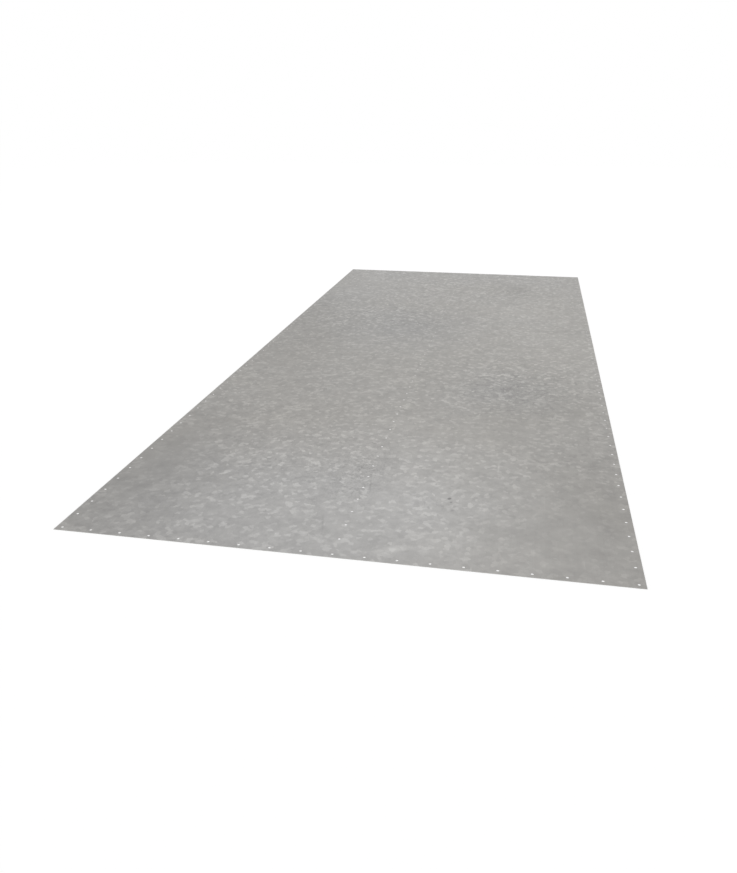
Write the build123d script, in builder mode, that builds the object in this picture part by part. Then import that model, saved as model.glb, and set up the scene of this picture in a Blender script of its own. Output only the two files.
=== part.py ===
"""Galvanised steel plate: a thin flat sheet, sheared to size and punched with fixing holes.

Rows of holes run along all four edges and down the middle, so that the plate can be screwed or
nailed to two side studs, a middle stud and a rail at each end. Sizes are in millimetres. The origin
is at the middle of the underside, with the length along Y, the width along X and the upper face at +Z.
"""

import os
from math import ceil

from build123d import *

# The sheet as it is sold
plate_width = 900.0
plate_length = 2400.0
plate_thickness = 0.5

# The fixing holes
hole_diameter = 4.5
edge_distance = 10.0
largest_pitch = 50.0
rows_along = 3

# Distances between the outermost rows of holes
span_across = plate_width - 2 * edge_distance
span_along = plate_length - 2 * edge_distance


def spaces_between_holes(span):
    """The number of equal spaces in a row: even, so that a hole lies on the plate's centre line."""
    return 2 * ceil(span / 2 / largest_pitch)


spaces_across = spaces_between_holes(span_across)
spaces_along = spaces_between_holes(span_along)
pitch_across = span_across / spaces_across
pitch_along = span_along / spaces_along

with BuildPart() as steel_plate:
    # The blank, cut from coil
    with BuildSketch():
        Rectangle(plate_width, plate_length)
    extrude(amount=plate_thickness)

    # A row along each end, from corner to corner
    with GridLocations(pitch_across, span_along, spaces_across + 1, 2):
        Hole(hole_diameter / 2)

    # The rows down both sides and the middle, between the end rows
    with GridLocations(span_across / (rows_along - 1), pitch_along, rows_along, spaces_along - 1):
        Hole(hole_diameter / 2)

steel_plate.part.label = "steel_plate"

os.makedirs("parts", exist_ok=True)
export_step(steel_plate.part, "parts/steel_plate.step")

holes = steel_plate.faces().filter_by(GeomType.CYLINDER)
print("holes", len(holes), "pitch across", round(pitch_across, 2), "along", round(pitch_along, 2))
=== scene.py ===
import math

import bpy
from mathutils import Matrix, Vector


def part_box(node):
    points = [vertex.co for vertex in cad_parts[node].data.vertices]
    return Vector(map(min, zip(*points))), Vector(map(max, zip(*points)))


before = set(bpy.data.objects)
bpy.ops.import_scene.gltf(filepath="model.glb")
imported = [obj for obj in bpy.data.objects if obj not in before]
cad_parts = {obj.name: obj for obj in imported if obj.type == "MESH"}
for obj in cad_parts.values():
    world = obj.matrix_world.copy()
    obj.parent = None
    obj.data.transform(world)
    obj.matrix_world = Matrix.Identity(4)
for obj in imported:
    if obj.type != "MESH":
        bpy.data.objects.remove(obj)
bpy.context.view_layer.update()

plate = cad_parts["steel_plate"]
lowest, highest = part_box("steel_plate")
plate_thickness = highest.z - lowest.z

MM = 0.001

# The camera of the photograph: it stands off one short end, right of the middle, and looks down the length
camera_place = Vector((255.6, -2305.5, 624.2)) * MM
camera_turn_left = math.radians(11.688)
camera_tilt_down = math.radians(20.855)
lens_mm = 35.62
picture_width = 737
picture_height = 873
picture_centre_from_axis = 20.0  # pixels by which the picture's middle lies right of the lens axis

# The floor
floor_width = 60.0
floor_gap = 0.02 * MM  # keeps the floor from showing through the plate's underside

# Zinc spangle
crystal_width = 8.0 * MM
crystal_edge_softness = 0.06
rolling_stretch = 1.12  # crystals are a little longer along the sheet, the way it was rolled
ragged_by = 1.3 * MM
ragged_length = 4.0 * MM
feather_width = 1.5 * MM  # real feathering is finer, and would blur to nothing at the camera's distance
feather_length = 5.0 * MM
clump_width = 32 * MM
cloud_width = 280 * MM
facet_tilt = math.radians(1.5)
faces_apart = 1000  # the faces froze apart, so the thickness between them counts this many times over

# How far each crystal leans to the light, about 0 to 1, and from where it starts to shine and shines fully
clump_lean = 0.4
dull_below = 0.68
shiny_above = 0.90
shine_between_feathers = 0.25
shine_of_feathers = 1.3

# Fine dark grit, and lengthwise lines from the rolls and from sliding off a stack. Both are finer in truth,
# and are as coarse here as they need to be to show
grit_width = 3.0 * MM
clean_below = 0.50  # of the noise that makes the grit
gritty_above = 0.75
grit_everywhere = 0.1
drag_line_width = 1.5 * MM
drag_line_length = 260 * MM

# The zinc's shade, from 0, the darkest grey, to 1, the palest, and how much each layer changes it
darkest_zinc = "868585"
palest_zinc = "c7c6c4"
middle_shade = 0.45
clump_shade = 0.36
cloud_shade = 0.10
drag_line_shade = 0.08
grit_shade = -0.35
crystal_shade = 0.17
feather_shade = 0.24
# The flecks are painted glints: the shine of crystals that face the light, painted into the colour
painted_glint_shade = 0.20
spangle_offset = -0.03  # evens out the flecks, which only ever brighten
middle_contrast = 0.9
cloud_contrast = 1.0

# Air and handling have yellowed the grey very slightly, and unevenly
yellowed_by = "fffdf9"
middle_neutral = 0.1
cloud_neutral = 0.8

# Seen at a low angle, zinc mirrors a little less than all the light. Its shiny crystals are smoother
grazing_tint = "d8d8d8"
dull_zinc_roughness = 0.38
shiny_zinc_roughness = 0.30

# The torn and burnished bands of a sheared edge, and its fine scores through the thickness
cut_steeper_than = 0.7  # the upward part of the normal, below which a face starts to count as cut
cut_fully_below = 0.3
torn_steel = "908e8b"
burnished_steel = "d4d2ce"
torn_roughness = 0.6
burnished_roughness = 0.35
burnished_from = 0.5 * plate_thickness
burnished_fully = 0.65 * plate_thickness
burnish_brightness = 0.5
score_brightness = 0.6
score_width = 0.12 * MM
score_stretch = 10

# What every noise pattern has in common
fine_detail = 0.6  # how strong its finer detail is beside its coarser
noise_middle = (0.5, 0.5, 0.5)
noise_swing = 0.25  # how far it mostly strays from its middle

# A Mix node's sockets when it mixes colours
mix_factor, first_colour, second_colour, mixed_colour = 0, 6, 7, 2

# Soft-edged areas of the upper face where the zinc froze, wore or was handled differently, and broad areas
# of painted reflection:
# x, y, half width and half length in mm, turn in degrees, and how much is added in the middle.
# Contrast of the spangle
contrast_areas = {
    "left of the middle row": (-150, -820, 240, 260, 0, 0.6),
    "right of the middle row": (250, -280, 260, 300, -12, 1.0),
    "calm zone before it": (180, -620, 330, 130, 0, -0.3),
    "near end": (0, -1150, 700, 700, 0, -0.2),
    "left side, beyond the middle": (-250, 420, 300, 380, 0, 0.8),
    "far end": (0, 1100, 500, 600, 0, 0.6),
    "near left edge": (-395, -880, 120, 270, 0, -0.7),
    "near right corner": (390, -1060, 190, 280, 0, -0.6),
}
# Paler zinc, or darker where the number is negative. The broad areas from the near end to the far left edge
# are painted reflection: paler where the sheet mirrors a brighter surround, darker where it mirrors a
# darker one
tone_and_reflection_areas = {
    "near end, middle": (50, -960, 370, 390, 0, 0.16),
    "near end, right of the middle": (160, -1130, 90, 100, 0, 0.09),
    "near left edge": (-400, -940, 160, 480, 0, -0.17),
    "near right edge": (430, -1000, 150, 350, 0, -0.08),
    "right side": (370, 150, 330, 850, 0, 0.14),
    "right side, beyond the middle": (220, 520, 160, 150, 0, 0.08),
    "right edge": (420, 300, 90, 130, 0, -0.09),
    "far left edge": (-400, 800, 200, 350, 0, 0.06),
    "right of the middle row": (255, -370, 170, 210, 0, -0.07),
    "middle of the sheet": (-90, 290, 260, 300, 0, -0.08),
    "far, right of the middle": (220, 860, 130, 160, 0, -0.08),
    "dark speck": (153, -959, 4, 6, -15, -1.2),
    "speck below it": (157, -973, 3, 4, 0, -0.6),
    "grey speck": (161, -1003, 6, 8, 0, -0.3),
    "bright fleck": (277, -363, 9, 12, 0, 0.5),
    "bright fleck beside it": (236, -352, 6, 10, 0, 0.4),
    "pale smear": (90, -1157, 44, 12, 25, 0.28),
    "scuff, left arm": (300, -770, 7, 60, 35, 0.16),
    "scuff, right arm": (335, -760, 7, 55, -40, 0.16),
    "score right of the middle row": (10, -925, 2.5, 45, 8, -0.25),
    "score beside the scuff": (229, -805, 2.5, 40, 0, 0.30),
    "score left of the middle row": (-38, -1090, 2.5, 35, 12, -0.20),
}
# Dark grit
grit_areas = {
    "along the middle row": (-15, -870, 75, 190, 0, 1.3),
    "right of the middle row": (255, -300, 190, 230, 0, 0.9),
    "left edge, middle": (-330, 80, 150, 220, 0, 0.8),
    "middle, beyond half-way": (-70, 370, 120, 240, 0, 0.9),
    "far, right of the middle": (230, 860, 90, 130, 0, 1.1),
}
# A clean, neutral grey, where the rest has yellowed
neutral_areas = {
    "near end": (-80, -1080, 520, 480, 0, 1.3),
    "right of the middle row": (210, -330, 200, 220, 0, 0.5),
    "middle of the sheet": (-90, 230, 260, 320, 0, 0.7),
    "far left": (-330, 700, 300, 700, 0, 0.5),
    "far end": (0, 1250, 700, 350, 0, 0.5),
}


def linear(hex_colour):
    """The linear RGBA of an sRGB hex colour."""
    channels = [int(hex_colour[i:i + 2], 16) / 255 for i in (0, 2, 4)]
    curved = [c / 12.92 if c <= 0.04045 else ((c + 0.055) / 1.055) ** 2.4 for c in channels]
    return (*curved, 1.0)


def add_node(tree, kind, inputs=None, **settings):
    """Adds a node with its own settings. Each of its inputs is given a value or another node's output."""
    node = tree.nodes.new(kind)
    for name, value in settings.items():
        setattr(node, name, value)
    for socket, value in (inputs or {}).items():
        if isinstance(value, bpy.types.NodeSocket):
            tree.links.new(value, node.inputs[socket])
        else:
            node.inputs[socket].default_value = value
    return node


def new_material(name):
    """An empty node material and its tree."""
    material = bpy.data.materials.new(name)
    material.use_nodes = True
    material.node_tree.nodes.clear()
    return material, material.node_tree


def add_layers(tree, value, layers):
    """The value plus each layer times its weight."""
    for layer, weight in layers:
        added = add_node(tree, "ShaderNodeMath", {0: layer, 1: weight, 2: value}, operation="MULTIPLY_ADD")
        value = added.outputs[0]
    return value


def vary(tree, middle, layers):
    """The middle value, raised and lowered by layers that each run from 0 to 1 times their weight."""
    lowest_value = middle - sum(weight for _, weight in layers) / 2
    return add_layers(tree, lowest_value, layers)


def add_areas(tree, place, value, areas):
    """The value with soft-edged areas of the upper face added to it."""
    for x, y, half_width, half_length, turn, more in areas.values():
        within = add_node(tree, "ShaderNodeMapping", {
            "Vector": place,
            "Location": (x * MM, y * MM, plate_thickness),
            "Rotation": (0, 0, math.radians(turn)),
            "Scale": (half_width * MM, half_length * MM, plate_thickness / 2),
        }, vector_type="TEXTURE").outputs[0]
        soft = add_node(tree, "ShaderNodeTexGradient", {"Vector": within}, gradient_type="SPHERICAL")
        value = add_layers(tree, value, [(soft.outputs[1], more)])
    return value


def spangle_crystals(tree, apart):
    """Zinc crystals that meet in ragged lines: a random colour for each, and feathers laid its own way."""
    ragged = add_node(tree, "ShaderNodeTexNoise", {
        "Vector": apart, "Scale": 1 / ragged_length, "Detail": 2.0, "Roughness": fine_detail,
    }).outputs["Color"]
    astray = add_node(tree, "ShaderNodeVectorMath", {0: ragged, 1: noise_middle},
                      operation="SUBTRACT").outputs[0]
    moved = add_node(tree, "ShaderNodeVectorMath", {0: astray, "Scale": ragged_by / noise_swing},
                     operation="SCALE").outputs[0]
    wandered = add_node(tree, "ShaderNodeVectorMath", {0: apart, 1: moved}, operation="ADD").outputs[0]
    crystals = add_node(tree, "ShaderNodeTexVoronoi", {
        "Vector": wandered, "Scale": 1 / crystal_width, "Smoothness": crystal_edge_softness,
    }, feature="SMOOTH_F1").outputs["Color"]
    chance = add_node(tree, "ShaderNodeSeparateColor", {"Color": crystals}).outputs

    angle = add_node(tree, "ShaderNodeMath", {0: chance[1], 1: math.tau}, operation="MULTIPLY").outputs[0]
    turned = add_node(tree, "ShaderNodeVectorRotate", {"Vector": apart, "Angle": angle},
                      rotation_type="Z_AXIS").outputs[0]
    drawn_out = add_node(tree, "ShaderNodeMapping", {
        "Vector": turned, "Scale": (1, feather_width / feather_length, 1),
    }).outputs[0]
    feathers = add_node(tree, "ShaderNodeTexNoise", {
        "Vector": drawn_out, "Scale": 1 / feather_width, "Detail": 1.0, "Roughness": fine_detail,
    }).outputs[0]
    return crystals, chance, feathers


def dark_grit(tree, place, apart):
    """Fine dark specks where the zinc is rough, from 0 to about 1."""
    noise = add_node(tree, "ShaderNodeTexNoise", {
        "Vector": apart, "Scale": 1 / grit_width, "Detail": 1.0, "Roughness": fine_detail,
    }).outputs[0]
    specks = add_node(tree, "ShaderNodeMapRange", {
        "Value": noise, "From Min": clean_below, "From Max": gritty_above,
    }).outputs[0]
    strength = add_areas(tree, place, grit_everywhere, grit_areas)
    return add_node(tree, "ShaderNodeMath", {0: specks, 1: strength}, operation="MULTIPLY").outputs[0]


def cut_edge(tree, coordinates):
    """Where the steel was sheared or punched, and its colour and roughness there: bare steel, burnished by
    the blade in the upper half of the thickness and torn below."""
    upward = add_node(tree, "ShaderNodeSeparateXYZ", {0: coordinates["Normal"]}).outputs[2]
    level = add_node(tree, "ShaderNodeMath", {0: upward}, operation="ABSOLUTE").outputs[0]
    is_cut = add_node(tree, "ShaderNodeMapRange", {
        "Value": level, "From Min": cut_steeper_than, "From Max": cut_fully_below,
    }).outputs[0]
    height = add_node(tree, "ShaderNodeSeparateXYZ", {0: coordinates["Object"]}).outputs[2]
    burnished = add_node(tree, "ShaderNodeMapRange", {
        "Value": height, "From Min": burnished_from, "From Max": burnished_fully,
    }).outputs[0]
    drawn_out = add_node(tree, "ShaderNodeMapping", {
        "Vector": coordinates["Object"], "Scale": (1, 1, 1 / score_stretch),
    }).outputs[0]
    scores = add_node(tree, "ShaderNodeTexNoise", {
        "Vector": drawn_out, "Scale": 1 / score_width, "Detail": 2.0, "Roughness": fine_detail,
    }).outputs[0]
    brightness = vary(tree, 0.5, [(burnished, burnish_brightness), (scores, score_brightness)])
    steel = add_node(tree, "ShaderNodeValToRGB", {"Fac": brightness})
    steel.color_ramp.elements[0].color = linear(torn_steel)
    steel.color_ramp.elements[1].color = linear(burnished_steel)
    roughness = add_node(tree, "ShaderNodeMapRange", {
        "Value": brightness, "To Min": torn_roughness, "To Max": burnished_roughness,
    }).outputs[0]
    return is_cut, steel.outputs[0], roughness


def leaning_facets(tree, crystals):
    """The surface's normal, leaned a little in each crystal, each its own way."""
    astray = add_node(tree, "ShaderNodeVectorMath", {0: crystals, 1: noise_middle},
                      operation="SUBTRACT").outputs[0]
    leaning = add_node(tree, "ShaderNodeVectorMath", {0: astray, "Scale": 2 * math.tan(facet_tilt)},
                       operation="SCALE").outputs[0]
    flat = add_node(tree, "ShaderNodeNewGeometry").outputs["Normal"]
    leaned = add_node(tree, "ShaderNodeVectorMath", {0: flat, 1: leaning}, operation="ADD").outputs[0]
    return add_node(tree, "ShaderNodeVectorMath", {0: leaned}, operation="NORMALIZE").outputs[0]


def galvanised_steel():
    """Hot-dip zinc on cold-rolled steel, which freezes into flat crystals, the spangle. Each crystal takes
    the light a little differently; that shine is painted into the colour, so the sheet is a matt grey
    scattered with paler flecks, painted glints. Sheared and punched edges are bare steel."""
    material, tree = new_material("galvanised_steel")
    coordinates = add_node(tree, "ShaderNodeTexCoord").outputs
    place = coordinates["Object"]
    apart = add_node(tree, "ShaderNodeMapping", {
        "Vector": place, "Scale": (1, 1 / rolling_stretch, faces_apart),
    }).outputs[0]
    crystals, chance, feathers = spangle_crystals(tree, apart)
    clumps = add_node(tree, "ShaderNodeTexNoise", {
        "Vector": apart, "Scale": 1 / clump_width, "Detail": 2.0, "Roughness": fine_detail,
    }).outputs[0]
    clouds = add_node(tree, "ShaderNodeTexNoise", {
        "Vector": apart, "Scale": 1 / cloud_width, "Detail": 2.0, "Roughness": fine_detail,
    }).outputs[0]

    # About one crystal in five lies so that it shines, more of them in some clumps than in others. The
    # shine is painted into the colour as paler flecks, a painted glint
    lean = vary(tree, 0.5, [(chance[0], 1.0), (clumps, clump_lean)])
    shining = add_node(tree, "ShaderNodeMapRange", {
        "Value": lean, "From Min": dull_below, "From Max": shiny_above,
    }, interpolation_type="SMOOTHSTEP").outputs[0]
    feathered = add_layers(tree, shine_between_feathers, [(feathers, shine_of_feathers)])
    flecks = add_node(tree, "ShaderNodeMath", {0: shining, 1: feathered}, operation="MULTIPLY").outputs[0]
    spangle = vary(tree, spangle_offset, [(chance[2], crystal_shade), (feathers, feather_shade)])
    spangle = add_layers(tree, spangle, [(flecks, painted_glint_shade)])
    contrast = vary(tree, middle_contrast, [(clouds, cloud_contrast)])
    contrast = add_areas(tree, place, contrast, contrast_areas)
    spangle = add_node(tree, "ShaderNodeMath", {0: spangle, 1: contrast}, operation="MULTIPLY").outputs[0]

    lengthwise = add_node(tree, "ShaderNodeMapping", {
        "Vector": place, "Scale": (1, drag_line_width / drag_line_length, faces_apart),
    }).outputs[0]
    drag_lines = add_node(tree, "ShaderNodeTexNoise", {
        "Vector": lengthwise, "Scale": 1 / drag_line_width, "Detail": 1.0, "Roughness": fine_detail,
    }).outputs[0]

    shade = vary(tree, middle_shade, [
        (clumps, clump_shade), (clouds, cloud_shade), (drag_lines, drag_line_shade)])
    shade = add_layers(tree, shade, [(spangle, 1.0), (dark_grit(tree, place, apart), grit_shade)])
    # Paler and darker areas: broad painted reflection, and small marks on the zinc
    shade = add_areas(tree, place, shade, tone_and_reflection_areas)
    zinc = add_node(tree, "ShaderNodeValToRGB", {"Fac": shade})
    zinc.color_ramp.elements[0].color = linear(darkest_zinc)
    zinc.color_ramp.elements[1].color = linear(palest_zinc)

    neutral = vary(tree, middle_neutral, [(clouds, cloud_neutral)])
    neutral = add_areas(tree, place, neutral, neutral_areas)
    yellowed = add_node(tree, "ShaderNodeMath", {0: 1.0, 1: neutral}, operation="SUBTRACT", use_clamp=True)
    aged_zinc = add_node(tree, "ShaderNodeMix", {
        mix_factor: yellowed.outputs[0], first_colour: zinc.outputs[0], second_colour: linear(yellowed_by),
    }, data_type="RGBA", blend_type="MULTIPLY").outputs[mixed_colour]

    is_cut, steel, steel_roughness = cut_edge(tree, coordinates)
    colour = add_node(tree, "ShaderNodeMix", {
        mix_factor: is_cut, first_colour: aged_zinc, second_colour: steel,
    }, data_type="RGBA").outputs[mixed_colour]
    zinc_roughness = add_node(tree, "ShaderNodeMapRange", {
        "Value": flecks, "To Min": dull_zinc_roughness, "To Max": shiny_zinc_roughness,
    }).outputs[0]
    roughness = add_node(tree, "ShaderNodeMapRange", {
        "Value": is_cut, "To Min": zinc_roughness, "To Max": steel_roughness,
    }).outputs[0]

    shader = add_node(tree, "ShaderNodeBsdfPrincipled", {
        "Base Color": colour,
        "Metallic": 1.0,
        "Roughness": roughness,
        "Specular Tint": linear(grazing_tint),
        "Normal": leaning_facets(tree, crystals),
    })
    add_node(tree, "ShaderNodeOutputMaterial", {"Surface": shader.outputs[0]})
    return material


def add_floor():
    """A plain white studio floor that runs well past the picture's edges."""
    bpy.ops.mesh.primitive_plane_add(size=floor_width, location=(0, 0, -floor_gap))
    floor = bpy.context.object
    floor.name = "floor"
    material, tree = new_material("studio_floor")
    shader = add_node(tree, "ShaderNodeBsdfDiffuse", {"Color": linear("ffffff")})
    add_node(tree, "ShaderNodeOutputMaterial", {"Surface": shader.outputs[0]})
    floor.data.materials.append(material)


def add_softbox(name, place, aim, width, height, roll, brightness):
    """A rectangular lamp, sized in metres and aimed at a point, as bright as a share of the surround."""
    data = bpy.data.lights.new(name, "AREA")
    data.shape = "RECTANGLE"
    data.size = width
    data.size_y = height
    data.energy = math.pi * width * height * brightness
    lamp = bpy.data.objects.new(name, data)
    facing = (Vector(aim) - Vector(place)).to_track_quat("-Z", "Y").to_matrix().to_4x4()
    turn = Matrix.Rotation(math.radians(roll), 4, "Z")
    lamp.matrix_world = Matrix.Translation(place) @ facing @ turn
    lamp.visible_camera = False
    bpy.context.scene.collection.objects.link(lamp)


def add_studio_light():
    """An even white surround, and two softboxes that the sheet mirrors as broad paler areas."""
    world = bpy.data.worlds.new("studio")
    bpy.context.scene.world = world
    world.use_nodes = True
    tree = world.node_tree
    tree.nodes.clear()
    surround = add_node(tree, "ShaderNodeBackground", {"Color": linear("ffffff"), "Strength": 1.0})
    add_node(tree, "ShaderNodeOutputWorld", {"Surface": surround.outputs[0]})
    add_softbox("high_softbox", place=(-0.78, 2.50, 1.93), aim=(0.0, -1.0, 0.0),
                width=2.0, height=0.8, roll=12, brightness=0.30)
    add_softbox("far_panel", place=(0.0, 8.0, 1.15), aim=(0.0, 1.1, 0.0),
                width=3.9, height=1.1, roll=0, brightness=0.58)


def add_camera():
    """The photograph's camera."""
    data = bpy.data.cameras.new("camera")
    data.lens = lens_mm
    data.shift_x = picture_centre_from_axis / max(picture_width, picture_height)
    camera = bpy.data.objects.new("camera", data)
    turn = Matrix.Rotation(camera_turn_left, 4, "Z")
    tilt = Matrix.Rotation(math.radians(90) - camera_tilt_down, 4, "X")
    camera.matrix_world = Matrix.Translation(camera_place) @ turn @ tilt
    bpy.context.scene.collection.objects.link(camera)
    bpy.context.scene.camera = camera


bpy.ops.object.select_all(action="DESELECT")
plate.data.materials.clear()
plate.data.materials.append(galvanised_steel())
add_floor()
add_studio_light()
add_camera()
bpy.context.scene.view_settings.view_transform = "Standard"
